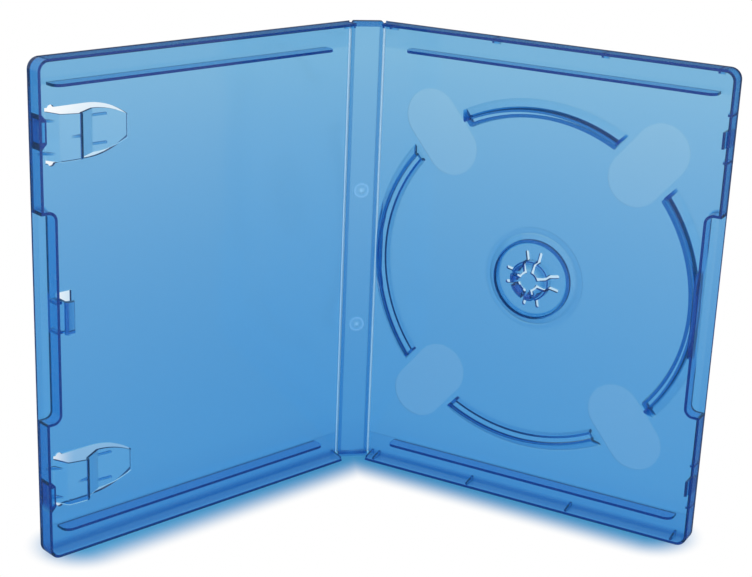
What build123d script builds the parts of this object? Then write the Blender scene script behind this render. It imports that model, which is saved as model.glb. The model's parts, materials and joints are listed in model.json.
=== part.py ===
from build123d import *
import math
import os

# Disc case: one moulding in translucent plastic that folds at two thin webs.
# Millimetres and degrees. The tray stands in the XZ plane with its inside facing -Y, and +Z is up.
# The origin is on the standing edge, straight below the hub, at the tray's inner floor.
# Each panel is first drawn lying flat: x runs from its hinge axis to the fore-edge, y runs along
# the hinge from mid-height, and z stands up from the inner floor.

# Whole case
CASE_HEIGHT = 171.0
CASE_THICKNESS = 14.0
PANEL_WIDTH = 133.6
FLOOR = 1.2
WALL = 1.0
PARTING_GAP = 0.2
CORNER_R = 4.0
OUTER_EDGE_R = 0.8
INNER_CHAMFER = 0.6
TRAY_FOLD = 38.74
COVER_FOLD = 33.25

# Living hinges
WEB = 0.4
WEB_INSET = 0.1
BEND_R = 0.2
HINGE_GAP = 0.6
HINGE_CHAMFER = 0.3
WEB_END_RELIEF = 1.0
WALL_START = 2.4

# Spine
SPINE_RIB = 1.2
SPINE_RIB_HEIGHT = 0.7
SPINE_END = 1.9
SPINE_END_HEIGHT = 1.6
SPINE_CORNER_R = 0.8
SPINE_MARK_R = 1.1
SPINE_MARK_DEPTH = 0.2
SPINE_MARK_PLACES = (31.0, -22.0)

# Recess in the outer face for the printed sheet
SHEET_MARGIN = 9.4
SHEET_EDGE = 2.5
SHEET_DEPTH = 0.15

# Finger notch in the fore-edge
NOTCH_LENGTH = 71.5
NOTCH_DEPTH = 4.9
NOTCH_R = 2.4

# Long ribs beside the top and bottom walls
RIB = 1.0
RIB_DROP = 0.2
RIB_INSET = 8.9
RIB_START = 12.0
RIB_END_INSET = 6.4
RIB_NOSE_R = 3.0
RIB_HEEL_R = 2.2

# Disc, hub and ring
DISC_R = 60.0
DISC_THICKNESS = 1.2
DISC_HOLE_R = 7.5
HUB_CLEARANCE = 0.1
HUB_FROM_HINGE = 65.2
SEAT_HEIGHT = 2.2
SEAT_R = 14.1
SEAT_LAND = 0.3
SEAT_LAND_ROUND = 0.5
SEAT_FOOT_R = 17.0
SEAT_FOOT_ROUND = 2.0
DISH_R = 12.85
DISH_HEIGHT = 0.4
HUB_SKIN = 1.1
CROWN_HEIGHT = 4.4
CROWN_CHAMFER = 0.9
CROWN_WALL = 1.1
CROWN_ROOF = 1.1
CROWN_ROOF_FALL = 0.4
CROWN_MOUTH_R = 3.8
SLOT = 1.25
SLOT_INNER = (3.0, 1.3)
SLOT_OUTER = (9.7, 2.65)
BUTTON_R = 3.1
BUTTON_TOP = 4.0
BUTTON = 1.1
BRIDGE = 1.35
RING_CLEARANCE = 1.3
RING_LAND = 0.7
RING_SLOPE_RUN = 3.5
RING_HEIGHT = 4.0
RING_SKIN = 1.1
RING_FROM_HINGE = 1.8
LEDGE_INSIDE = 0.9
LEDGE_DROP = 0.1
LEDGE_FOOT = 0.5
THUMB_ANGLE = 50.7
THUMB_R = 10.0
THUMB_INNER = 55.6
THUMB_OUTER = 69.2
THUMB_DEPTH = 0.12
THUMB_GAP = 24.0
STEP_LENGTH = 31.0
STEP = 1.1
STEP_DROP = 0.5

# Gussets against the walls
GUSSET = 0.8
GUSSET_DROP = 0.4
GUSSET_FOOT = 1.8
GUSSET_TOP = 0.7
GUSSET_COUNT = 4
GUSSET_FIRST = 5.75
GUSSET_LAST_INSET = 6.0

# Catches: tabs on the tray that enter pockets in the cover
CATCH_FROM_MIDDLE = 62.5
CATCH_LENGTH = 5.7
CATCH = 1.0
CATCH_RISE = 2.0
CATCH_CLEARANCE = 0.15
CATCH_END_CLEARANCE = 0.35
CATCH_GUSSET_SPREAD = 8.0
POCKET_DEPTH = 1.8
POCKET_LENGTH_WALL = 11.5
POCKET_LENGTH_FACE = 7.5
POCKET_DROP = 0.2
POCKET_FLOOR_GAP = 0.5

# Booklet clips in the cover
CLIP_FROM_MIDDLE = 59.7
CLIP = 0.9
CLIP_ROOT_INSET = 5.5
CLIP_HOLE_LENGTH = 31.2
CLIP_HOLE_WIDTH = 18.2
CLIP_HOLE_CURVE = (16.3, 5.5)
CLIP_RELIEF_R = 1.3
CLIP_RELIEF_RUN = 2.2
CLIP_RELIEF_BULGE = 0.9
CLIP_ROOT_WIDTH = 15.8
CLIP_CREST_WIDTH = 14.8
CLIP_TONGUE_WIDTH = 14.4
CLIP_TONGUE_CURVE = (13.0, 3.4)
CLIP_TIP_GAP = 0.9
CLIP_SHOULDER_RUN = 2.8
CLIP_SHOULDER_HEIGHT = 5.3
CLIP_CREST_RUN = 10.0
CLIP_CREST_HEIGHT = 6.4
CLIP_DROP_RUN = 10.8
CLIP_DROP_HEIGHT = 4.5
CLIP_VALLEY_RUN = 17.2
CLIP_VALLEY_HEIGHT = 0.8
CLIP_TIP_HEIGHT = 1.6
CLIP_BEND_R = 0.8
CLIP_RIB = 0.8
CLIP_RIB_SPREAD = 10.6
CLIP_RIB_RUN = 2.2
CLIP_RIB_HEIGHT = 3.6
CLIP_WEB_RUN = 5.0
CLIP_CREASE_SPREAD = 9.5
CLIP_CREASE_START = 0.2
CLIP_CREASE_LENGTH = 5.5

# Disc guard in the cover
GUARD = 1.0
GUARD_LENGTH = 11.2
GUARD_CLEARANCE = 0.9
GUARD_GAP = 1.6
GUARD_NOSE = 2.6
GUARD_NOSE_HEIGHT = 1.5
GUARD_BEVEL = 0.7
GUARD_BRACE_HEIGHT = 4.5
GUARD_HOLE_LENGTH = 14.0
GUARD_HOLE_WIDTH = 5.4

# Sizes that follow
HALF_HEIGHT = CASE_HEIGHT / 2
AXIS_INSET = WEB_INSET + WEB + BEND_R
AXIS_LEVEL = AXIS_INSET - FLOOR
SPINE_SPAN = CASE_THICKNESS - 2 * AXIS_INSET
RIM_HEIGHT = (CASE_THICKNESS - PARTING_GAP) / 2 - FLOOR
SHUT_GAP = CASE_THICKNESS - 2 * FLOOR
INNER_EDGE = PANEL_WIDTH - WALL
NOTCH_EDGE = PANEL_WIDTH - NOTCH_DEPTH
NOTCH_INNER = NOTCH_EDGE - WALL
PIN_R = DISC_HOLE_R - HUB_CLEARANCE
RING_R = DISC_R + RING_CLEARANCE
RING_LAND_R = RING_R + RING_LAND
RING_FOOT_R = RING_LAND_R + RING_SLOPE_RUN
LEDGE_R = DISC_R - LEDGE_INSIDE
LEDGE_HEIGHT = SEAT_HEIGHT - LEDGE_DROP
SEAT_OUTER_R = SEAT_R + SEAT_LAND
HUB_R = SEAT_FOOT_R + SEAT_FOOT_ROUND
RIB_HEIGHT = RIM_HEIGHT - RIB_DROP
STEP_HEIGHT = RIM_HEIGHT - STEP_DROP
GUSSET_HEIGHT = RIM_HEIGHT - GUSSET_DROP
POCKET_HEIGHT = RIM_HEIGHT - POCKET_DROP
GUARD_HEIGHT = SHUT_GAP - SEAT_HEIGHT - DISC_THICKNESS - GUARD_CLEARANCE


def box(x0, x1, y0, y1, z0, z1):
    """Block between two opposite corners."""
    return Pos((x0 + x1) / 2, (y0 + y1) / 2, (z0 + z1) / 2) * Box(x1 - x0, y1 - y0, z1 - z0)


def oblong(x0, x1, length):
    """Rectangle from x0 to x1, centred on y = 0."""
    return Pos((x0 + x1) / 2, 0) * Rectangle(x1 - x0, length)


def upright(points):
    """Face in the XZ plane with corners at (x, z)."""
    return make_face(Plane.XZ * Polyline(*points, close=True))


def slab(face, thickness):
    """Solid of an upright face, centred on y = 0."""
    return extrude(face, amount=thickness / 2, both=True)


def turned(points):
    """Solid of revolution about Z from a profile of (radius, height)."""
    return revolve(upright(points), Axis.Z)


def mirrored_pair(solid, offset):
    """The solid at +offset and its mirror image at -offset along y."""
    upper = Pos(0, offset, 0) * solid
    return upper + mirror(upper, about=Plane.XZ)


def notch_outline(grow):
    """Outline of the finger notch, grown by a wall thickness."""
    shape = oblong(NOTCH_EDGE - grow, PANEL_WIDTH + NOTCH_DEPTH, NOTCH_LENGTH + 2 * grow)
    return fillet(shape.vertices().group_by(Axis.X)[0], NOTCH_R + grow)


def wall_gusset():
    """Tapered gusset in a corner: along -x on the floor and up z on the wall."""
    return slab(upright([(0, 0), (-GUSSET_FOOT, 0), (-GUSSET_TOP, GUSSET_HEIGHT), (0, GUSSET_HEIGHT)]), GUSSET)


def hinge_gussets():
    """Gussets flush with the ends of the top and bottom walls beside the hinge."""
    place = Pos(WALL_START + GUSSET / 2, HALF_HEIGHT - WALL, 0)
    against_top = place * Rot(0, 0, 90) * wall_gusset()
    return against_top + mirror(against_top, about=Plane.XZ)


def panel_shell():
    """Floor with a rim on three sides that turns in around the finger notch, with softened edges."""
    outline = oblong(HINGE_GAP, PANEL_WIDTH, CASE_HEIGHT)
    outline = fillet(outline.vertices().group_by(Axis.X)[-1], CORNER_R)
    block = Pos(0, 0, -FLOOR) * extrude(outline, FLOOR + RIM_HEIGHT)
    outer_edges = block.faces().sort_by(Axis.Z)[0].edges().sort_by(Axis.X)[1:]
    block = fillet(outer_edges, OUTER_EDGE_R)
    inside = oblong(-WALL_START, INNER_EDGE, CASE_HEIGHT - 2 * WALL)
    inside = fillet(inside.vertices().group_by(Axis.X)[-1], CORNER_R - WALL)
    cavity = extrude(inside - notch_outline(WALL), 2 * RIM_HEIGHT)
    cavity = chamfer(cavity.faces().sort_by(Axis.Z)[0].edges(), INNER_CHAMFER)
    notch = extrude(notch_outline(0), 2 * RIM_HEIGHT)
    hinge_side = upright([
        (0, -HINGE_GAP - HINGE_CHAMFER),
        (HINGE_GAP + HINGE_CHAMFER, 0),
        (WALL_START, 0),
        (WALL_START, 2 * RIM_HEIGHT),
        (0, 2 * RIM_HEIGHT),
    ])
    sheet = box(
        HINGE_GAP - SHEET_EDGE, PANEL_WIDTH - SHEET_EDGE,
        SHEET_MARGIN - HALF_HEIGHT, HALF_HEIGHT - SHEET_MARGIN,
        -2 * FLOOR, SHEET_DEPTH - FLOOR,
    )
    shell = block - cavity - notch - slab(hinge_side, 2 * CASE_HEIGHT) - sheet
    return shell + hinge_gussets()


def long_ribs():
    """Two thin ribs along the top and bottom walls, rounded at the fore-edge end."""
    end = PANEL_WIDTH - RIB_END_INSET
    face = upright([(RIB_START, 0), (end, 0), (end, RIB_HEIGHT), (RIB_START, RIB_HEIGHT)])
    top = face.vertices().group_by(Axis.Z)[-1].sort_by(Axis.X)
    face = fillet(top[-1], RIB_NOSE_R)
    heel = face.vertices().group_by(Axis.Z)[-1].sort_by(Axis.X)[0]
    face = fillet(heel, RIB_HEEL_R)
    return mirrored_pair(slab(face, RIB), HALF_HEIGHT - RIB_INSET)


def tray_gussets():
    """Gussets against the top, bottom and fore-edge walls."""
    pitch = (PANEL_WIDTH - GUSSET_LAST_INSET - GUSSET_FIRST) / (GUSSET_COUNT - 1)
    result = Part()
    for number in range(GUSSET_COUNT):
        place = Pos(GUSSET_FIRST + number * pitch, HALF_HEIGHT - WALL, 0)
        against_top = place * Rot(0, 0, 90) * wall_gusset()
        result += against_top + mirror(against_top, about=Plane.XZ)
    for side in (-1, 1):
        offset = CATCH_FROM_MIDDLE + side * CATCH_GUSSET_SPREAD
        result += mirrored_pair(Pos(INNER_EDGE, 0, 0) * wall_gusset(), offset)
    return result


def catch_tabs():
    """Tabs on the tray's fore-edge wall that rise past the rim, set in from the wall's face."""
    inner = INNER_EDGE - CATCH
    root = box(inner, INNER_EDGE, -CATCH_LENGTH / 2, CATCH_LENGTH / 2, 0, RIM_HEIGHT)
    tip = upright([
        (inner, 0),
        (INNER_EDGE - CATCH_CLEARANCE, 0),
        (INNER_EDGE - CATCH_CLEARANCE, RIM_HEIGHT + CATCH_RISE - CATCH / 2),
        (INNER_EDGE - CATCH / 2, RIM_HEIGHT + CATCH_RISE),
        (inner, RIM_HEIGHT + CATCH_RISE),
    ])
    return mirrored_pair(root + slab(tip, CATCH_LENGTH), CATCH_FROM_MIDDLE)


def catch_pockets():
    """Tapered pads on the cover's fore-edge wall with a slot open at the top for a catch tab."""
    face = INNER_EDGE - POCKET_DEPTH
    pad = make_face(Polyline(
        (INNER_EDGE, -POCKET_LENGTH_WALL / 2),
        (INNER_EDGE, POCKET_LENGTH_WALL / 2),
        (face, POCKET_LENGTH_FACE / 2),
        (face, -POCKET_LENGTH_FACE / 2),
        close=True,
    ))
    half_slot = CATCH_LENGTH / 2 + CATCH_END_CLEARANCE
    slot_floor = SHUT_GAP - RIM_HEIGHT - CATCH_RISE - POCKET_FLOOR_GAP
    slot_face = INNER_EDGE - CATCH - CATCH_CLEARANCE
    slot = box(slot_face, INNER_EDGE, -half_slot, half_slot, slot_floor, RIM_HEIGHT)
    return mirrored_pair(extrude(pad, POCKET_HEIGHT) - slot, CATCH_FROM_MIDDLE)


def ring_region(skin):
    """Plan of the four ring arcs: cut by the thumb gaps, the hinge side and the notch wall."""
    region = Pos(HUB_FROM_HINGE, 0) * Circle(RING_FOOT_R + RING_SLOPE_RUN)
    region = region & oblong(RING_FROM_HINGE + skin, NOTCH_EDGE - skin, CASE_HEIGHT)
    for angle in (THUMB_ANGLE, 180 - THUMB_ANGLE, 180 + THUMB_ANGLE, -THUMB_ANGLE):
        gap = Pos(RING_R, 0) * Rectangle(RING_R, THUMB_GAP + 2 * skin)
        region -= Pos(HUB_FROM_HINGE, 0) * Rot(0, 0, angle) * gap
    return Pos(0, 0, -2 * FLOOR) * extrude(region, 2 * FLOOR + RING_HEIGHT + RING_SKIN)


def skin_drop(skin, slope):
    """Height between two parallel slopes that are a skin apart."""
    return skin * math.hypot(1, slope)


def disc_ring():
    """Raised arcs around the disc: a ledge under its edge, a step, a slope outwards, and the hollow below."""
    foot_r = LEDGE_R - LEDGE_FOOT
    raised = turned([
        (foot_r, -FLOOR / 2),
        (RING_FOOT_R, -FLOOR / 2),
        (RING_FOOT_R, 0),
        (RING_LAND_R, RING_HEIGHT),
        (RING_R, RING_HEIGHT),
        (RING_R, LEDGE_HEIGHT),
        (LEDGE_R, LEDGE_HEIGHT),
        (foot_r, 0),
    ])
    slope = RING_HEIGHT / RING_SLOPE_RUN
    drop = skin_drop(RING_SKIN, slope)
    step_r = RING_R + RING_SKIN
    hollow = turned([
        (foot_r + RING_SKIN, -2 * FLOOR),
        (RING_FOOT_R - (drop - 2 * FLOOR) / slope, -2 * FLOOR),
        (step_r, (RING_FOOT_R - step_r) * slope - drop),
        (step_r, LEDGE_HEIGHT - RING_SKIN),
        (LEDGE_R + RING_SKIN, LEDGE_HEIGHT - RING_SKIN),
        (foot_r + RING_SKIN, -FLOOR),
    ])
    raised = Pos(HUB_FROM_HINGE, 0, 0) * raised & ring_region(0)
    hollow = Pos(HUB_FROM_HINGE, 0, 0) * hollow & ring_region(RING_SKIN)
    return raised, hollow


def thumb_recesses():
    """Four radial ovals, where the floor is thinner and a thumb lifts the disc's edge."""
    result = Part()
    for angle in (THUMB_ANGLE, 180 - THUMB_ANGLE, 180 + THUMB_ANGLE, -THUMB_ANGLE):
        oval = Pos((THUMB_INNER + THUMB_OUTER) / 2, 0) * SlotCenterToCenter(THUMB_OUTER - THUMB_INNER, 2 * THUMB_R)
        oval = Pos(HUB_FROM_HINGE, 0) * Rot(0, 0, angle) * oval
        result += Pos(0, 0, -THUMB_DEPTH) * extrude(oval, FLOOR)
    return result


def hub_slots():
    """Eight slots in four pairs that part the crown into narrow and wide fingers."""
    reach, spread = (b - a for a, b in zip(SLOT_INNER, SLOT_OUTER))
    middle = [(a + b) / 2 for a, b in zip(SLOT_INNER, SLOT_OUTER)]
    lean = math.degrees(math.atan2(spread, reach))
    slots = Sketch()
    for turn in range(4):
        for side in (-1, 1):
            slot = SlotCenterToCenter(math.hypot(reach, spread), SLOT)
            slots += Rot(0, 0, 90 * turn) * Pos(middle[0], side * middle[1]) * Rot(0, 0, side * lean) * slot
    return Pos(0, 0, -2 * FLOOR) * extrude(slots, 2 * FLOOR + 2 * CROWN_HEIGHT)


def crown_profile():
    """Section of the hub: soft slope up to the seat, step down to the dish, crown and the hollow below."""
    roof_top = CROWN_HEIGHT - CROWN_ROOF_FALL
    inner_r = PIN_R - CROWN_WALL
    dish_under = DISH_HEIGHT - HUB_SKIN
    slope = SEAT_HEIGHT / (SEAT_FOOT_R - SEAT_OUTER_R)
    drop = skin_drop(HUB_SKIN, slope)
    face = upright([
        (HUB_R, -FLOOR),
        (HUB_R, 0),
        (SEAT_FOOT_R, 0),
        (SEAT_OUTER_R, SEAT_HEIGHT),
        (SEAT_R, SEAT_HEIGHT),
        (DISH_R, DISH_HEIGHT),
        (PIN_R, DISH_HEIGHT),
        (PIN_R, CROWN_HEIGHT - CROWN_CHAMFER),
        (PIN_R - CROWN_CHAMFER, CROWN_HEIGHT),
        (CROWN_MOUTH_R, roof_top),
        (CROWN_MOUTH_R, roof_top - CROWN_ROOF),
        (inner_r, CROWN_HEIGHT - CROWN_CHAMFER - CROWN_ROOF),
        (inner_r, dish_under),
        (SEAT_OUTER_R, dish_under),
        (SEAT_OUTER_R, SEAT_HEIGHT - drop),
        (SEAT_FOOT_R - (drop - FLOOR) / slope, -FLOOR),
    ])
    face = fillet(face.vertices().sort_by_distance((SEAT_FOOT_R, 0, 0))[0], SEAT_FOOT_ROUND)
    return fillet(face.vertices().sort_by_distance((SEAT_OUTER_R, 0, SEAT_HEIGHT))[0], SEAT_LAND_ROUND)


def hub():
    """Seat ring, dish and crown turned in one piece, slotted into fingers, with a centre button on four arms."""
    crown = revolve(crown_profile(), Axis.Z)
    half_span = (CROWN_MOUTH_R + PIN_R) / 2
    button = Cylinder(BUTTON_R, BUTTON)
    for turn in range(2):
        button += Rot(0, 0, 90 * turn) * Box(2 * half_span, BRIDGE, BUTTON)
    return Pos(HUB_FROM_HINGE, 0, 0) * (crown - hub_slots() + Pos(0, 0, BUTTON_TOP - BUTTON / 2) * button)


def disc_tray():
    """Right-hand panel, with everything that holds the disc."""
    raised, hollow = disc_ring()
    well = Pos(HUB_FROM_HINGE, 0, 0) * Cylinder(HUB_R, 4 * FLOOR)
    step_inner = NOTCH_INNER - STEP
    step = box(step_inner, NOTCH_EDGE - WALL / 2, -STEP_LENGTH / 2, STEP_LENGTH / 2, 0, STEP_HEIGHT)
    tray = panel_shell() - thumb_recesses() + raised + step - hollow
    tray = tray + long_ribs() + tray_gussets() + catch_tabs()
    return tray - well + hub()


def clip_profile():
    """Upright face of a clip: steep root, shoulder, crest, drop and a tongue that dips to the floor."""
    root = PANEL_WIDTH - CLIP_ROOT_INSET
    tip = root - CLIP_HOLE_LENGTH + CLIP_TIP_GAP
    half = CLIP / 2
    middle = FilletPolyline(
        (root + FLOOR, -half),
        (root - half, -half),
        (root - CLIP_SHOULDER_RUN, CLIP_SHOULDER_HEIGHT - half),
        (root - CLIP_CREST_RUN, CLIP_CREST_HEIGHT - half),
        (root - CLIP_DROP_RUN, CLIP_DROP_HEIGHT - half),
        (root - CLIP_VALLEY_RUN, CLIP_VALLEY_HEIGHT - half),
        (tip, CLIP_TIP_HEIGHT - half),
        radius=CLIP_BEND_R,
    )
    return make_face(offset(Plane.XZ * middle, amount=half, side=Side.BOTH, kind=Kind.INTERSECTION))


def tapered_end(start, end, width, curve):
    """Plan from a start to an end nearer the hinge, with sides that curve in by (length, depth) at the end."""
    length, depth = curve
    bend = end + length
    half, half_end = width / 2, width / 2 - depth
    return make_face([
        Line((start, half), (bend, half)),
        TangentArc((bend, half), (end, half_end), tangent=(-1, 0)),
        Line((end, half_end), (end, -half_end)),
        TangentArc((bend, -half), (end, -half_end), tangent=(-1, 0)),
        Line((bend, -half), (start, -half)),
        Line((start, -half), (start, half)),
    ])


def clip_plan():
    """Plan of a clip: tapering ramp and a tongue that narrows to its tip."""
    root = PANEL_WIDTH - CLIP_ROOT_INSET
    crest = root - CLIP_CREST_RUN
    tip = root - CLIP_HOLE_LENGTH + CLIP_TIP_GAP
    ramp = make_face(Polyline(
        (root + FLOOR, -CLIP_ROOT_WIDTH / 2),
        (root + FLOOR, CLIP_ROOT_WIDTH / 2),
        (crest, CLIP_CREST_WIDTH / 2),
        (crest, -CLIP_CREST_WIDTH / 2),
        close=True,
    ))
    return ramp + tapered_end(crest, tip, CLIP_TONGUE_WIDTH, CLIP_TONGUE_CURVE)


def clip_stiffeners():
    """Two gussets behind the root, a web under the crest and two low ribs on the tongue."""
    root = PANEL_WIDTH - CLIP_ROOT_INSET
    crest = root - CLIP_CREST_RUN
    valley = root - CLIP_VALLEY_RUN
    root_slope = CLIP_SHOULDER_HEIGHT / CLIP_SHOULDER_RUN
    crest_slope = (CLIP_CREST_HEIGHT - CLIP_SHOULDER_HEIGHT) / (CLIP_CREST_RUN - CLIP_SHOULDER_RUN)
    root_gusset = upright([
        (root + CLIP_RIB_RUN, -FLOOR / 2),
        (root + CLIP_RIB_RUN, CLIP / 2),
        (root - CLIP_RIB_HEIGHT / root_slope, CLIP_RIB_HEIGHT),
        (root, -FLOOR / 2),
    ])
    crest_web = upright([
        (crest + CLIP_WEB_RUN, CLIP_CREST_HEIGHT - CLIP_WEB_RUN * crest_slope - CLIP / 2),
        (crest, CLIP_CREST_HEIGHT - CLIP / 2),
        (root - CLIP_DROP_RUN, CLIP_DROP_HEIGHT - CLIP / 2),
    ])
    tongue_run = CLIP_HOLE_LENGTH - CLIP_TIP_GAP - CLIP_VALLEY_RUN
    tongue_slope = (CLIP_VALLEY_HEIGHT - CLIP_TIP_HEIGHT) / tongue_run
    crease_end = CLIP_CREASE_START + CLIP_CREASE_LENGTH
    start_height = CLIP_VALLEY_HEIGHT - CLIP_CREASE_START * tongue_slope
    end_height = CLIP_VALLEY_HEIGHT - crease_end * tongue_slope
    crease = upright([
        (valley - CLIP_CREASE_START, start_height - CLIP / 2),
        (valley - crease_end, end_height - CLIP / 2),
        (valley - crease_end, end_height - 2 * CLIP),
        (valley - CLIP_CREASE_START, start_height - 2 * CLIP),
    ])
    gussets = mirrored_pair(slab(root_gusset, CLIP_RIB), CLIP_RIB_SPREAD / 2)
    creases = mirrored_pair(slab(crease, CLIP_RIB), CLIP_CREASE_SPREAD / 2)
    return gussets + slab(crest_web, CLIP_RIB) + creases


def booklet_clips():
    """Both clips, and the holes in the floor that they were moulded through, with a relief beside each root."""
    root = PANEL_WIDTH - CLIP_ROOT_INSET
    hole = tapered_end(root, root - CLIP_HOLE_LENGTH, CLIP_HOLE_WIDTH, CLIP_HOLE_CURVE)
    relief_place = CLIP_HOLE_WIDTH / 2 + CLIP_RELIEF_BULGE - CLIP_RELIEF_R
    for side in (-1, 1):
        hole += Pos(root - CLIP_RELIEF_RUN, side * relief_place) * Circle(CLIP_RELIEF_R)
    hole = Pos(0, 0, -2 * FLOOR) * extrude(hole, 4 * FLOOR)
    plan = Pos(0, 0, -2 * FLOOR) * extrude(clip_plan(), 4 * CLIP_CREST_HEIGHT)
    clip = (slab(clip_profile(), 2 * CLIP_ROOT_WIDTH) & plan) + clip_stiffeners()
    return mirrored_pair(clip, CLIP_FROM_MIDDLE), mirrored_pair(hole, CLIP_FROM_MIDDLE)


def disc_guard():
    """Hooked tab that reaches over the disc's edge when the case is shut, and the hole below its nose."""
    outer = NOTCH_INNER - GUARD_GAP
    inner = outer - GUARD
    nose = inner - GUARD_NOSE
    under = GUARD_HEIGHT - GUARD_NOSE_HEIGHT
    face = upright([
        (outer, -FLOOR / 2),
        (outer, GUARD_HEIGHT - GUARD_BEVEL),
        (outer - GUARD_BEVEL, GUARD_HEIGHT),
        (nose + GUARD_BEVEL, GUARD_HEIGHT),
        (nose, GUARD_HEIGHT - GUARD_BEVEL),
        (nose, under),
        (inner, under - GUARD_BEVEL),
        (inner, -FLOOR / 2),
    ])
    brace = box(outer, NOTCH_INNER, -GUARD / 2, GUARD / 2, 0, GUARD_BRACE_HEIGHT)
    hole = box(
        inner - GUARD_HOLE_WIDTH, inner, -GUARD_HOLE_LENGTH / 2, GUARD_HOLE_LENGTH / 2, -2 * FLOOR, FLOOR / 2,
    )
    return slab(face, GUARD_LENGTH) + mirrored_pair(brace, (GUARD_LENGTH - GUARD) / 2), hole


def front_cover():
    """Left-hand panel, with the booklet clips, disc guard and catch pockets."""
    clips, clip_holes = booklet_clips()
    guard, guard_hole = disc_guard()
    cover = panel_shell() + long_ribs() - clip_holes - guard_hole
    return cover + catch_pockets() + clips + guard


def spine():
    """Strip between the two hinges, drawn from the rear hinge axis, with edge ribs and end walls."""
    first, last = HINGE_GAP, SPINE_SPAN - HINGE_GAP
    outline = fillet(oblong(first, last, CASE_HEIGHT).vertices(), SPINE_CORNER_R)
    channel = upright([
        (first, -FLOOR),
        (first, SPINE_RIB_HEIGHT - HINGE_CHAMFER),
        (first + HINGE_CHAMFER, SPINE_RIB_HEIGHT),
        (first + SPINE_RIB, SPINE_RIB_HEIGHT),
        (first + SPINE_RIB, 0),
        (last - SPINE_RIB, 0),
        (last - SPINE_RIB, SPINE_RIB_HEIGHT),
        (last - HINGE_CHAMFER, SPINE_RIB_HEIGHT),
        (last, SPINE_RIB_HEIGHT - HINGE_CHAMFER),
        (last, -FLOOR),
    ])
    body = slab(channel, CASE_HEIGHT) & Pos(0, 0, -FLOOR) * extrude(outline, 2 * FLOOR)
    end_wall = Pos(0, HALF_HEIGHT, 0) * oblong(first, last, 2 * SPINE_END)
    for place in (end_wall, mirror(end_wall, about=Plane.XZ)):
        body += extrude(outline & place, SPINE_END_HEIGHT)
    for place in SPINE_MARK_PLACES:
        mark = Pos(SPINE_SPAN / 2, place, -SPINE_MARK_DEPTH) * extrude(Circle(SPINE_MARK_R), FLOOR)
        body -= mark
    return body


def hinge_web(fold):
    """Thin web about a hinge axis along y, thicker towards both neighbours and bent by the fold."""
    outer_r = BEND_R + WEB
    flank_top = FLOOR - AXIS_INSET - HINGE_CHAMFER
    flank = upright([(0, -outer_r), (HINGE_GAP, -outer_r), (HINGE_GAP, flank_top), (0, -BEND_R)])
    neighbour = mirror(flank, about=Plane.YZ)
    bend = turned_sector(outer_r, fold) - turned_sector(BEND_R, fold)
    web = flank + Rot(0, fold, 0) * neighbour + bend
    return slab(web, CASE_HEIGHT - 2 * WEB_END_RELIEF)


def turned_sector(radius, fold):
    """Sector below the hinge axis, from straight down to the fold angle."""
    start = Plane.XZ * Line((0, 0), (0, -radius))
    arc = Plane.XZ * CenterArc((0, 0), radius, -90, -fold)
    end = Plane.XZ * Line(CenterArc((0, 0), radius, -90, -fold) @ 1, (0, 0))
    return make_face([start, arc, end])


def stand(hinge, heading, mirrored):
    """Place of a panel whose hinge axis is at a point, heading at an angle from +X about +Z."""
    along = Vector(1, 0, 0).rotate(Axis.Z, heading)
    inward = along.rotate(Axis.Z, 90 if mirrored else -90)
    origin = Vector(hinge.X, hinge.Y, HALF_HEIGHT) - inward * AXIS_LEVEL
    return Plane(origin=origin, x_dir=along, z_dir=inward)


rear_hinge = Vector(-HUB_FROM_HINGE, -AXIS_LEVEL, 0)
spine_heading = 180 + TRAY_FOLD
cover_heading = spine_heading + COVER_FOLD
front_hinge = rear_hinge + Vector(SPINE_SPAN, 0, 0).rotate(Axis.Z, spine_heading)

tray_place = stand(rear_hinge, 0, False)
spine_place = stand(rear_hinge, spine_heading, True)
cover_place = stand(front_hinge, cover_heading, True)
spine_from_front = stand(front_hinge, spine_heading + 180, False)
to_axis = Pos(0, 0, AXIS_LEVEL)

nodes = {
    "disc_tray": tray_place * disc_tray(),
    "spine": spine_place * spine(),
    "front_cover": cover_place * front_cover(),
    "rear_hinge_web": tray_place * to_axis * hinge_web(TRAY_FOLD),
    "front_hinge_web": spine_from_front * to_axis * hinge_web(COVER_FOLD),
}

os.makedirs("parts", exist_ok=True)
for name, solid in nodes.items():
    export_step(solid, f"parts/{name}.step")
    print(name, round(solid.volume, 1), [round(v, 2) for v in solid.bounding_box().size])
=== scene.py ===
# %% [markdown]
# # A translucent disc case, standing open
# The case is one moulding in clear blue plastic that folds at two thin webs beside its spine. Its panels, hub,
# ring and clips come from the CAD model and stay exactly as they are. This lesson adds what the CAD model can't
# hold: the plastic itself, new skins for the hinge webs, a white table, soft light and the camera.
#
# We load the frame first: the CAD parts from model.glb and the joints from model.json. Nothing that we add may
# make the object larger.

# %% Load the frame
import json
import math

import bpy
import numpy as np
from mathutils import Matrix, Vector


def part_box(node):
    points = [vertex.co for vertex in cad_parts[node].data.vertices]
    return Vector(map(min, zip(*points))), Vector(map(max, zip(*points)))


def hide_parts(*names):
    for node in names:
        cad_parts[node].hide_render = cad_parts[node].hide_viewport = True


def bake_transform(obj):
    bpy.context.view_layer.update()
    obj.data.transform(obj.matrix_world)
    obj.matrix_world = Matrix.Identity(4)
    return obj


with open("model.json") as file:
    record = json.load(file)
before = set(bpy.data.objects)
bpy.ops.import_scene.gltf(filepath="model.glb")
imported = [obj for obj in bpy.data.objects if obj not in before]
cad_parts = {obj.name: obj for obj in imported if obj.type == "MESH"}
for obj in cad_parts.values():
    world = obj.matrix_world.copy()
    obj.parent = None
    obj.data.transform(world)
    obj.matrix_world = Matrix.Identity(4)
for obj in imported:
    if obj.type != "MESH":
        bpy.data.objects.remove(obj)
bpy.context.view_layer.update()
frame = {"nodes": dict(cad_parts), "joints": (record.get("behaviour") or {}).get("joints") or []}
MM = 0.001
joints = {joint["name"]: joint for joint in frame["joints"]}
print("nodes:", sorted(frame["nodes"]))
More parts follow.
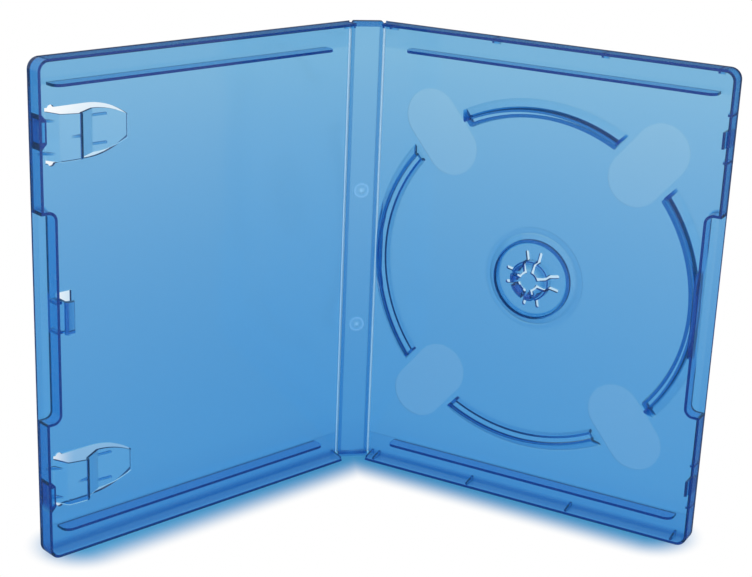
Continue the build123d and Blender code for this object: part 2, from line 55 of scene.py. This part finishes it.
print("joints:", sorted(joints))

# %% [markdown]
# ## Writing shader maths as Python
# A node tree is a sum written with boxes and wires. It is easier to read as a formula, so a small class wraps
# one socket and lets us write `1 - mask` or `a * b + c`; each operator adds the Math node that it needs. Every
# other node comes from the method `node`, which takes the node's type, then its settings, then its sockets.

# %% A wrapper for sockets
class Field:
    """One output socket of a node tree. Arithmetic on fields adds Math nodes to the same tree."""

    def __init__(self, tree, socket=None):
        self.tree = tree
        self.socket = socket

    def node(self, kind, settings=None, sockets=None, output=0):
        """Adds a node, sets its settings, fills its sockets with values or links, and returns one output."""
        made = self.tree.nodes.new(kind)
        for key, value in (settings or {}).items():
            if key == "stops":
                stops = made.color_ramp.elements
                for _ in value[2:]:
                    stops.new(1.0)
                for stop, (place, colour) in zip(stops, value):
                    stop.position = place
                    stop.color = colour
            else:
                setattr(made, key, value)
        for key, value in (sockets or {}).items():
            if isinstance(value, Field):
                self.tree.links.new(value.socket, made.inputs[key])
            else:
                made.inputs[key].default_value = value
        return Field(self.tree, made.outputs[output] if made.outputs else None)

    def math(self, operation, a, b):
        return self.node("ShaderNodeMath", {"operation": operation}, {0: a, 1: b})

    def __add__(self, other):
        return self.math("ADD", self, other)

    def __radd__(self, other):
        return self.math("ADD", other, self)

    def __sub__(self, other):
        return self.math("SUBTRACT", self, other)

    def __rsub__(self, other):
        return self.math("SUBTRACT", other, self)

    def __mul__(self, other):
        return self.math("MULTIPLY", self, other)

    def __rmul__(self, other):
        return self.math("MULTIPLY", other, self)


print("field operators: + - *")

# %% [markdown]
# ## A few shader helpers
# Some steps come back in every material: an empty tree to start from, a mix of two colours, a smooth change from
# one level to another, and three sums with vectors. Each gets a function, so that the materials read like recipes.

# %% Shader helpers
def new_material(name):
    """An empty node material and a field to build it with."""
    material = bpy.data.materials.new(name)
    material.use_nodes = True
    material.node_tree.nodes.clear()
    return material, Field(material.node_tree)


def blend_colours(f, share, first, second):
    """Mix of two colours, by a share of the second."""
    sockets = {"Factor": share, 6: first, 7: second}
    return f.node("ShaderNodeMix", {"data_type": "RGBA"}, sockets, output=2)


def fade(f, value, low, high, to=(0.0, 1.0)):
    """Smooth change between two levels while a value goes from low to high."""
    return f.node("ShaderNodeMapRange", {"interpolation_type": "SMOOTHSTEP"}, {
        "Value": value, "From Min": low, "From Max": high, "To Min": to[0], "To Max": to[1],
    })


def difference(f, a, b):
    """The vector that leads from b to a."""
    return f.node("ShaderNodeVectorMath", {"operation": "SUBTRACT"}, {0: a, 1: b})


def distance(f, a, b):
    """The distance between two points."""
    return f.node("ShaderNodeVectorMath", {"operation": "DISTANCE"}, {0: a, 1: b}, output="Value")


def dot_product(f, a, b):
    """The dot product of two vectors."""
    return f.node("ShaderNodeVectorMath", {"operation": "DOT_PRODUCT"}, {0: a, 1: b}, output="Value")


print("helpers: new_material, blend_colours, fade, difference, distance, dot_product")

# %% [markdown]
# ## The plastic
# The case is moulded in clear polypropylene with a blue dye. The dye sits in the whole thickness, so a thin floor
# is pale and a wall seen along its length is nearly navy: that is a Volume Absorption with one density, and the
# CAD thicknesses do the rest. We could paint the dark edges by hand, but then they would be wrong from every
# other side.
#
# Such plastic is never quite as clear as glass. A little of the light scatters in it, so even its darkest edge
# stays blue. Scattering in a volume renders slowly, and a transmission weight just below one with a faint blue
# emission, here called the glimmer, comes close to it. The skin has a roughness that varies a little and the slow
# waves that a cooling moulding keeps.

# %% Translucent blue plastic
CLEAR = (0.92, 0.99, 1.0, 1.0)
CLEARNESS = 0.985
PLASTIC_IOR = 1.49
DYE = (0.0, 0.54, 0.82, 1.0)
DYE_DENSITY = 1200.0
GLIMMER = (0.05, 0.42, 0.90, 1.0), 0.05
SKIN = (0.04, 0.08)
# Pale colour of the glimmer on frosted spots, and of the painted highlight on the webs.
FROST_AND_HIGHLIGHT = (0.50, 0.74, 0.93, 1.0)
FROST_ROUGHNESS = 0.12
WAVES = {"Scale": 90.0, "Detail": 1.0}
GRAIN = {"Scale": 900.0, "Detail": 3.0}
WAVE_BUMP = {"Strength": 0.05, "Distance": 0.2 * MM}


def blue_plastic(name, skin=SKIN, clearness=CLEARNESS, glimmer=GLIMMER, frost_and_highlight=None):
    """Clear dyed plastic: transmission, absorption in the volume, a skin whose roughness goes from a first value
    up by a second, and a slow bump. The glimmer is a colour and its strength. Where the mask is 1, the skin is
    rougher and its glimmer paler: frosted floors in the tray's recesses, frosted gate marks on the spine, and a
    painted highlight on the bend of a web."""
    material, f = new_material(name)
    place = f.node("ShaderNodeTexCoord", output="Object")
    waves = f.node("ShaderNodeTexNoise", sockets={"Vector": place, **WAVES})
    grain = f.node("ShaderNodeTexNoise", sockets={"Vector": place, **GRAIN})
    bump = f.node("ShaderNodeBump", sockets={**WAVE_BUMP, "Height": waves})
    roughness = skin[0] + grain * skin[1]
    light, strength = glimmer
    # Frosted spots on the tray and the spine, and the painted highlight on a web's bend, make the skin rougher and
    # the glimmer paler.
    if frost_and_highlight:
        mask = frost_and_highlight(f, place)
        roughness = roughness + mask * FROST_ROUGHNESS
        light = blend_colours(f, mask, light, FROST_AND_HIGHLIGHT)
    surface = f.node("ShaderNodeBsdfPrincipled", sockets={
        "Base Color": CLEAR,
        "Roughness": roughness,
        "IOR": PLASTIC_IOR,
        "Transmission Weight": clearness,
        "Emission Color": light,
        "Emission Strength": strength,
        "Normal": bump,
    })
    dye = f.node("ShaderNodeVolumeAbsorption", sockets={"Color": DYE, "Density": DYE_DENSITY})
    f.node("ShaderNodeOutputMaterial", sockets={"Surface": surface, "Volume": dye})
    return material


print("plastic: IOR", PLASTIC_IOR, "with dye of density", DYE_DENSITY)

# %% [markdown]
# ## Frosted marks
# Two finishes differ from the rest. The floors of the four thumb recesses are frosted, and the shader finds them
# by their depth in the tray. The spine keeps two gate marks, where the plastic was let into the mould: a dot, a
# ring and a faint dish, drawn from the distance to their centres. Painted masks would do the same, but these need
# no unwrapping and stay sharp at any size.
#
# The spine's glimmer is four times as strong and a quarter as bright in colour, so the plastic looks the same and
# the frost on it can be brighter.

# %% Frost, and a material for each moulding
THUMB_DEPTHS = (0.06 * MM, 0.3 * MM)
GATE_PLACE = (-70.1 * MM, -3.4 * MM)
GATE_LEVELS = (107.5 * MM, 54.5 * MM)
GATE_R = 2.6 * MM
GATE_GLIMMER = (0.0125, 0.105, 0.225, 1.0), 0.2
GATE_DOT = (0.4 * MM, 0.9 * MM)
GATE_DOT_SHARE = 0.6
GATE_RING_SHARE = 0.45
GATE_RING_HALF_WIDTH = 0.5 * MM
GATE_DISH_SHARE = 0.16
GATE_DISH_EDGE = 0.3 * MM


def thumb_frost(f, place):
    """1 on the floors of the thumb recesses, which lie between two depths of the tray."""
    depth = f.node("ShaderNodeSeparateXYZ", sockets={0: place}, output="Y")
    return f.math("GREATER_THAN", depth, THUMB_DEPTHS[0]) * f.math("LESS_THAN", depth, THUMB_DEPTHS[1])


def gate_frost(f, place):
    """A dot, a ring and a faint dish about each gate mark of the spine, from the distance to its centre."""
    mask = 0.0
    for level in GATE_LEVELS:
        away = distance(f, place, (*GATE_PLACE, level))
        off_ring = f.math("ABSOLUTE", away - GATE_R, 0.0)
        dot = fade(f, away, *GATE_DOT, (GATE_DOT_SHARE, 0.0))
        ring = fade(f, off_ring, 0.0, GATE_RING_HALF_WIDTH, (GATE_RING_SHARE, 0.0))
        dish = fade(f, away, GATE_R, GATE_R + GATE_DISH_EDGE, (GATE_DISH_SHARE, 0.0))
        mask = dot + ring + dish + mask
    return mask


mouldings = {
    "disc_tray": blue_plastic("tray_blue", frost_and_highlight=thumb_frost),
    "spine": blue_plastic("spine_blue", glimmer=GATE_GLIMMER, frost_and_highlight=gate_frost),
    "front_cover": blue_plastic("cover_blue"),
}
for node, material in mouldings.items():
    frame["nodes"][node].data.materials[0] = material
print("materials:", [material.name for material in mouldings.values()])

# %% [markdown]
# ## The living hinges
# The case bends at two webs, four tenths of a millimetre thick, that were moulded together with the panels. The
# CAD webs are stiff, so each is replaced by a new skin. Its section follows the hinge: a thick flank beside
# one panel, a thin arc about the hinge axis, and a flank beside the next. A bevelled curve could give the same
# strip, but with arrays we know which points lie on the bend.

# %% Section of a web
WEB_OUTER_R = 0.6 * MM
WEB_INNER_R = 0.2 * MM
WEB_FLAT = 0.6 * MM
WEB_FLANK = -0.2 * MM
WEB_FLAT_STEPS = 3
WEB_BEND_STEPS = 16
WEB_LENGTH_STEPS = 24


def heading(degrees):
    """Unit vectors in the XY plane at angles from +X, in degrees."""
    a = np.radians(degrees)
    return np.stack([np.cos(a), np.sin(a)], axis=-1)


def web_path(axis, start, fold, radius, flank):
    """One skin of a web: axis + depth * normal + run * along. The normal turns by the fold, and the depth goes
    from the flank's at the panels to the radius at the bend."""
    turn = np.concatenate([
        np.zeros(WEB_FLAT_STEPS),
        np.linspace(0, fold, WEB_BEND_STEPS),
        np.full(WEB_FLAT_STEPS, fold),
    ])
    flat = np.linspace(WEB_FLAT, 0, WEB_FLAT_STEPS, endpoint=False)
    run = np.concatenate([flat, np.zeros(WEB_BEND_STEPS), flat[::-1]])
    along = np.where(turn < fold / 2, start, start + 180 + fold)
    depth = radius + (flank - radius) * run / WEB_FLAT
    return axis + depth[:, None] * heading(start + 90 + turn) + run[:, None] * heading(along)


def closed_strip(name, section, low, high):
    """A closed section (points by 2) carried straight up from low to high, with a cap at each end."""
    count = len(section)
    levels = np.linspace(low, high, WEB_LENGTH_STEPS)
    points = np.concatenate([
        np.broadcast_to(section, (WEB_LENGTH_STEPS, count, 2)),
        np.broadcast_to(levels[:, None, None], (WEB_LENGTH_STEPS, count, 1)),
    ], axis=-1).reshape(-1, 3)
    level, corner = np.meshgrid(np.arange(WEB_LENGTH_STEPS - 1), np.arange(count), indexing="ij")
    here, beside = level * count + corner, level * count + (corner + 1) % count
    walls = np.stack([here, beside, beside + count, here + count], axis=-1).reshape(-1, 4)
    first = np.arange(count // 2 - 1)
    last = count - 1 - first
    cap = np.stack([first, last, last - 1, first + 1], axis=-1)
    top = cap[:, ::-1] + (WEB_LENGTH_STEPS - 1) * count
    mesh = bpy.data.meshes.new(name)
    mesh.from_pydata(points.tolist(), [], np.concatenate([walls, cap, top]).tolist())
    mesh.validate()
    made = bpy.data.objects.new(name, mesh)
    bpy.context.scene.collection.objects.link(made)
    return made


print("web section:", 2 * (2 * WEB_FLAT_STEPS + WEB_BEND_STEPS), "points")

# %% [markdown]
# ## The skins of the webs
#
# A bright line runs along the bend of each web, and it is a painted highlight. Each point carries a share of it,
# 1 on the arc and 0 on the flanks, and the material turns that share into a rougher skin with a paler glimmer.

# %% Two web skins
WEB_SKIN = (0.08, 0.1)
WEB_CLEARNESS = 0.7
# The web's glimmer is stronger than the panels', and along the bend it turns pale: a painted highlight.
WEB_GLIMMER = (0.0, 0.15, 0.35, 1.0), 0.22


def painted_highlight_share():
    """Share of the painted highlight: 1 at the points of a web's section that lie on the bend and 0 on its flanks.
    """
    skin = np.pad(np.ones(WEB_BEND_STEPS), WEB_FLAT_STEPS)
    return np.concatenate([skin, skin[::-1]])


def painted_highlight_mask(f, place):
    """The painted highlight along the bend, from the share that each point of the web carries."""
    return f.node("ShaderNodeAttribute", {"attribute_name": "crease"}, output="Fac")


def hinge_skin(joint_name, start, fold):
    """Piece for one hinge, which stands for the CAD web of the same name."""
    joint = joints[joint_name]
    axis = np.array(joint["pos_m"][:2])
    low, high = (corner.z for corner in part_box(joint_name + "_web"))
    outer = web_path(axis, start, fold, WEB_OUTER_R, WEB_OUTER_R)
    inner = web_path(axis, start, fold, WEB_INNER_R, WEB_FLANK)
    made = closed_strip(joint_name + "_skin", np.concatenate([outer, inner[::-1]]), low, high)
    # Each point of the web stores its share of the painted highlight.
    crease = made.data.attributes.new("crease", "FLOAT", "POINT")
    crease.data.foreach_set("value", np.tile(painted_highlight_share(), WEB_LENGTH_STEPS))
    plastic = blue_plastic(joint_name + "_plastic", WEB_SKIN, WEB_CLEARNESS, WEB_GLIMMER, painted_highlight_mask)
    made.data.materials.append(plastic)
    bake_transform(made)
    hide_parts(joint_name + "_web")
    print(made.name, len(made.data.polygons), "faces")


rear_fold, front_fold = (-joints[name]["range_deg"][0] for name in ("rear_hinge", "front_hinge"))
hinge_skin("rear_hinge", 0.0, rear_fold)
hinge_skin("front_hinge", rear_fold, front_fold)

# %% [markdown]
# ## A white table
# The case stands on a plain white sheet that curves up behind it, so there is no horizon. A plane with a bent
# corner would do, but the profile is short enough to write down: a floor, a quarter circle and a wall. The sheet
# lies a hair below the case, so that the two never share a face.

# %% Floor and backdrop
SHEET_DROP = 0.02 * MM
SHEET_HALF_WIDTH = 2.5
SHEET_FRONT = -2.5
SHEET_BACK = 1.2
SHEET_BEND_R = 0.8
SHEET_BEND_STEPS = 24
SHEET_TOP = 2.5


def sheet_profile():
    """Straight floor, a quarter circle and a straight wall, as (depth, height) pairs."""
    turn = np.linspace(0, math.pi / 2, SHEET_BEND_STEPS)
    bend = np.stack([
        SHEET_BACK + SHEET_BEND_R * np.sin(turn),
        SHEET_BEND_R * (1 - np.cos(turn)),
    ], axis=-1)
    front = np.array([[SHEET_FRONT, 0.0]])
    top = np.array([[SHEET_BACK + SHEET_BEND_R, SHEET_TOP]])
    return np.concatenate([front, bend, top])


def backdrop():
    """The profile carried across from left to right."""
    profile = sheet_profile()
    sides = np.array([-SHEET_HALF_WIDTH, SHEET_HALF_WIDTH])
    points = np.stack([
        np.repeat(sides, len(profile)),
        np.tile(profile[:, 0], 2),
        np.tile(profile[:, 1], 2) - SHEET_DROP,
    ], axis=-1)
    row = np.arange(len(profile) - 1)
    faces = np.stack([row, row + len(profile), row + len(profile) + 1, row + 1], axis=-1)
    mesh = bpy.data.meshes.new("white_sheet")
    mesh.from_pydata(points.tolist(), [], faces.tolist())
    mesh.polygons.foreach_set("use_smooth", np.ones(len(faces), bool))
    made = bpy.data.objects.new("white_sheet", mesh)
    bpy.context.scene.collection.objects.link(made)
    return made


sheet = backdrop()
print("sheet:", len(sheet.data.polygons), "faces")

# %% [markdown]
# ## Measuring on the floor
# A shader knows only the place of the point that it colours, so what depends on the case is worked out from that
# place. Two measures are enough: the distance to a line on the floor, along which a panel stands, and the side of
# a line that the point is on.
#
# With them we can draw the shadow that a panel throws away from a lamp beside the camera. It lies behind the
# panel and between the rays that pass its two ends, and its edges grow softer with the distance.

# %% Lines below the panels
PANEL_RUN = 133.6 * MM
CONTACT_RUN = 118.0 * MM
WALL_MIDDLE = 2.3 * MM
LAMP_FOOT = (0.22, -0.52, 0.0)
CAST_SHADOW_REACH = (0.45, 0.75)
CAST_SHADOW_BLUR = 10.0 * MM
CAST_SHADOW_SPREAD = 0.07


def distance_to_line(f, place, start, end):
    """Distance from a place to the line between two points: subtract, project, clamp and measure what is left."""
    along = [b - a for a, b in zip(start, end)]
    square = sum(c * c for c in along)
    offset = difference(f, place, start)
    share = f.node("ShaderNodeClamp", sockets={"Value": dot_product(f, offset, along) * (1 / square)})
    foot = f.node("ShaderNodeVectorMath", {"operation": "SCALE"}, {0: along, "Scale": share})
    return distance(f, offset, foot)


def least_distance(f, places, lines):
    """Distance to the nearer of two lines, each measured in a frame of its own."""
    return f.math("MINIMUM", *(distance_to_line(f, place, *line) for place, line in zip(places, lines)))


def side_of_line(f, place, point, normal):
    """Distance of a place from the line through a point, positive on the side that the normal points to."""
    return dot_product(f, difference(f, place, point), normal)


def unit(vector):
    """The vector at length 1."""
    return np.array(vector) / np.linalg.norm(vector)


def cast_shadow(f, place, line, turn):
    """Mask of the floor that a panel hides from the lamp. Turn is 1 where the shadow lies to the left of the line
    from hinge to edge, and -1 to the right. Past the hinge it fades outwards, so that the shadows of both panels
    meet without a seam."""
    hinge, edge = line
    x, y, _ = unit(np.subtract(edge, hinge))
    behind = side_of_line(f, place, hinge, (-turn * y, turn * x, 0))
    mask = fade(f, behind, 0, CAST_SHADOW_BLUR) * fade(f, behind, *CAST_SHADOW_REACH, (1.0, 0.0))
    blur = CAST_SHADOW_BLUR + behind * CAST_SHADOW_SPREAD
    for end, side, first in ((edge, turn, 0.0), (hinge, -turn, -1.0)):
        x, y, _ = unit(np.subtract(end, LAMP_FOOT))
        inside = side_of_line(f, place, end, (-side * y, side * x, 0))
        mask = mask * fade(f, inside, blur * first, blur * (first + 1))
    return mask


def on_floor(point, degrees=0.0, run=0.0, aside=0.0):
    """Point of the floor at a run from another point, along a heading, and aside from it to the left."""
    return (*(np.array(point[:2]) + run * heading(degrees) + aside * heading(degrees + 90)), 0.0)


rear_axis, front_axis = (joints[name]["pos_m"] for name in ("rear_hinge", "front_hinge"))
panels = (rear_axis, 0.0, -WALL_MIDDLE), (front_axis, 180 + rear_fold + front_fold, WALL_MIDDLE)
lines = [(on_floor(axis), on_floor(axis, way, PANEL_RUN)) for axis, way, _ in panels]
shadows = (on_floor(front_axis), lines[0][1]), (on_floor(rear_axis), lines[1][1])
feet = [
    (on_floor(axis, way, 0, aside), on_floor(axis, way, CONTACT_RUN, aside))
    for axis, way, aside in panels
]
print("lines on the floor:", len(lines), "of panels,", len(shadows), "of shadows,", len(feet), "of contact")

# %% [markdown]
# ## The colours of the sheet
# Around the foot of the case the sheet is matt and takes its real shadow. There its matt is painted blue, for the
# light that comes through the plastic, and camera rays get a painted blue contact shadow mixed in. A few
# millimetres on, the camera sees plain white, whatever light falls there.
#
# Three kinds of rays see the sheet, and each gets a colour of its own. Seen straight from the camera it is white,
# apart from a painted blue shadow, which shows in the clip holes. Seen through the plastic it has a painted shadow
# too, blue near the case and pale far behind. Mirrored in the plastic it has a painted pool of light, brighter
# towards the lamp.
#
# What belongs to the cover is measured in the cover's own frame, which the object setting of a Texture Coordinate
# node gives us, so its contact shadow goes where the cover goes. Its cast shadow would need new rays for each
# pose, so it fades out as soon as the cover moves.

# %% Material of the sheet
WHITE = (1.0, 1.0, 1.0, 1.0)
WHITE_MATT = (0.93, 0.93, 0.93, 1.0)
# Painted blue light: near the foot of the case the matt is coloured blue for the light that comes through the
# plastic.
SHADED_MATT = (0.25, 0.72, 0.97, 1.0)
SHADOW_EDGE = (4.0 * MM, 21.0 * MM)
# Painted shade: the blue contact shadow that camera rays see at the foot of the case, and its share there.
PAINTED_CONTACT_SHADOW = (0.05, 0.33, 0.70, 1.0)
PAINTED_CONTACT_SHADOW_SHARE = 0.45
COVER_AT_REST = 5.0 * MM
# A painted pool of light, seen only in the gloss of the plastic: the sheet grows brighter towards the lamp.
PAINTED_POOL_WAY = (1, -1)
PAINTED_POOL = (0.0, 0.4)
PAINTED_REFLECTION_LEVELS = (0.1, 0.6)
# The stops of both ramps are distances from the case, as shares of FAR.
FAR = 0.85
# Painted shadow that rays through the plastic see on the sheet: darkest right at the case, blue near it and pale
# far behind.
PAINTED_SHADOW_THROUGH_PLASTIC = (
    (0.004, (0.12, 0.27, 0.54, 1.0)),
    (0.008, (0.26, 0.49, 0.73, 1.0)),
    (0.047, (0.32, 0.56, 0.77, 1.0)),
    (1.0, (0.90, 0.88, 0.84, 1.0)),
)
# Colours of the painted cast shadow, which camera rays see through the clip holes.
PAINTED_SHADOW_IN_HOLES = (
    (0.06, (0.22, 0.45, 0.72, 1.0)),
    (0.30, (0.54, 0.75, 0.91, 1.0)),
)


def ray_kinds(f):
    """Three masks, of which one at most is 1: camera rays, rays through the plastic and mirrored rays."""
    seen, through, gloss = (
        f.node("ShaderNodeLightPath", output=kind)
        for kind in ("Is Camera Ray", "Is Transmission Ray", "Is Glossy Ray")
    )
    return seen, through, gloss * (1 - through)


def sheet_material(cover):
    """Matt near the case, where it takes its real contact shadow and a painted blue one, and plain white beyond,
    with a colour for each kind of ray that holds the painted shadows and the painted light mirrored in the
    plastic."""
    material, f = new_material("matt_white_sheet")
    place = f.node("ShaderNodeTexCoord", output="Object")
    beside_cover = f.node("ShaderNodeTexCoord", {"object": cover}, output="Object")
    places = place, beside_cover
    seen, through, mirrored = ray_kinds(f)

    far = least_distance(f, places, lines) * (1 / FAR)
    # Ramps of the painted shadows, by the distance from the case.
    painted_shadow_behind_plastic, painted_shadow_in_holes = (
        f.node("ShaderNodeValToRGB", {"stops": stops}, {0: far})
        for stops in (PAINTED_SHADOW_THROUGH_PLASTIC, PAINTED_SHADOW_IN_HOLES)
    )
    # Painted reflection: the brighter part of the sheet that mirrored rays see.
    painted_light_pool = fade(f, side_of_line(f, place, (0, 0, 0), (*unit(PAINTED_POOL_WAY), 0)), *PAINTED_POOL, PAINTED_REFLECTION_LEVELS)
    painted_reflection = f.node("ShaderNodeCombineColor", sockets={0: painted_light_pool, 1: painted_light_pool, 2: painted_light_pool})
    at_rest = fade(f, distance(f, place, beside_cover), 0, COVER_AT_REST, (1.0, 0.0))
    tray_shadow = cast_shadow(f, place, shadows[0], 1)
    cover_shadow = cast_shadow(f, place, shadows[1], -1) * at_rest
    away = fade(f, least_distance(f, places, feet), *SHADOW_EDGE)

    # Painted shadows for camera rays: the cast shadow behind the panels, then the contact shadow at their foot.
    colour = blend_colours(f, f.math("MAXIMUM", tray_shadow, cover_shadow), WHITE, painted_shadow_in_holes)
    colour = blend_colours(f, away, PAINTED_CONTACT_SHADOW, colour)
    colour = blend_colours(f, through, colour, painted_shadow_behind_plastic)
    colour = blend_colours(f, mirrored, colour, painted_reflection)
    glow = f.node("ShaderNodeEmission", sockets={"Color": colour})
    # The matt is painted blue near the case and white beyond; both take the real shadow.
    blue_matt = f.node("ShaderNodeBsdfDiffuse", sockets={"Color": SHADED_MATT})
    white_matt = f.node("ShaderNodeBsdfDiffuse", sockets={"Color": WHITE_MATT})
    matt = f.node("ShaderNodeMixShader", sockets={0: away, 1: blue_matt, 2: white_matt})
    # Camera rays near the foot get a share of the painted contact shadow; the rest comes from the real matt.
    own_light = PAINTED_CONTACT_SHADOW_SHARE + (1 - PAINTED_CONTACT_SHADOW_SHARE) * away
    glowing = seen * own_light + through + mirrored
    mixed = f.node("ShaderNodeMixShader", sockets={0: glowing, 1: matt, 2: glow})
    f.node("ShaderNodeOutputMaterial", sockets={"Surface": mixed})
    return material


sheet.data.materials.append(sheet_material(frame["nodes"]["front_cover"]))
print("sheet material:", sheet.data.materials[0].name)

# %% [markdown]
# ## Light
# The photograph has the even light of a small tent. Ours is a bit brighter behind the case than in front of it,
# so that light comes through the panels and tints the floor at their feet, where the sheet's matt is also painted
# blue. What the camera sees of the tent, also through the plastic and in its gloss, has a level of its own.
#
# The lamp beside the camera could be an area light, but a lamp leaves a hot spot in every wall of clear plastic,
# and the photograph has none. Its shadow is in the colours of the sheet instead.

# %% A light tent
TENT_FRONT = 0.5
TENT_BACK = 1.6
TENT_TURN = (-0.6, 0.6)
TENT_THROUGH_PLASTIC = 0.95
TENT_IN_GLOSS = 0.5

world = bpy.data.worlds.new("light_tent")
world.use_nodes = True
world.node_tree.nodes.clear()
f = Field(world.node_tree)
direction = f.node("ShaderNodeTexCoord", output="Generated")
depth = f.node("ShaderNodeSeparateXYZ", sockets={0: direction}, output="Y")
seen, through, mirrored = ray_kinds(f)
lighting = 1 - (seen + through + mirrored)
level = seen + through * TENT_THROUGH_PLASTIC + mirrored * TENT_IN_GLOSS
level = level + lighting * fade(f, depth, *TENT_TURN, (TENT_FRONT, TENT_BACK))
tent = f.node("ShaderNodeBackground", sockets={"Color": level})
f.node("ShaderNodeOutputWorld", sockets={"Surface": tent})
bpy.context.scene.world = world
print("tent:", TENT_FRONT, "in front,", TENT_BACK, "behind")

# %% [markdown]
# ## Camera
# The camera's place, turn and lens were solved from the straight edges of the case in the photograph, which is
# 752 by 577 pixels. The view transform is Standard, because a white floor has to come out white.

# %% Camera
CAMERA_PLACE = (0.22275, -0.52347, 0.27085)
CAMERA_TURN = (71.301, -2.206, 29.464)
CAMERA_LENS = 79.213
CAMERA_SENSOR = 36.0

camera_data = bpy.data.cameras.new("photo_camera")
camera_data.sensor_width = CAMERA_SENSOR
camera_data.lens = CAMERA_LENS
camera = bpy.data.objects.new("photo_camera", camera_data)
camera.location = CAMERA_PLACE
camera.rotation_euler = [math.radians(a) for a in CAMERA_TURN]
bpy.context.scene.collection.objects.link(camera)
bpy.context.scene.camera = camera
bpy.context.scene.view_settings.view_transform = "Standard"
print("camera lens:", CAMERA_LENS, "mm")
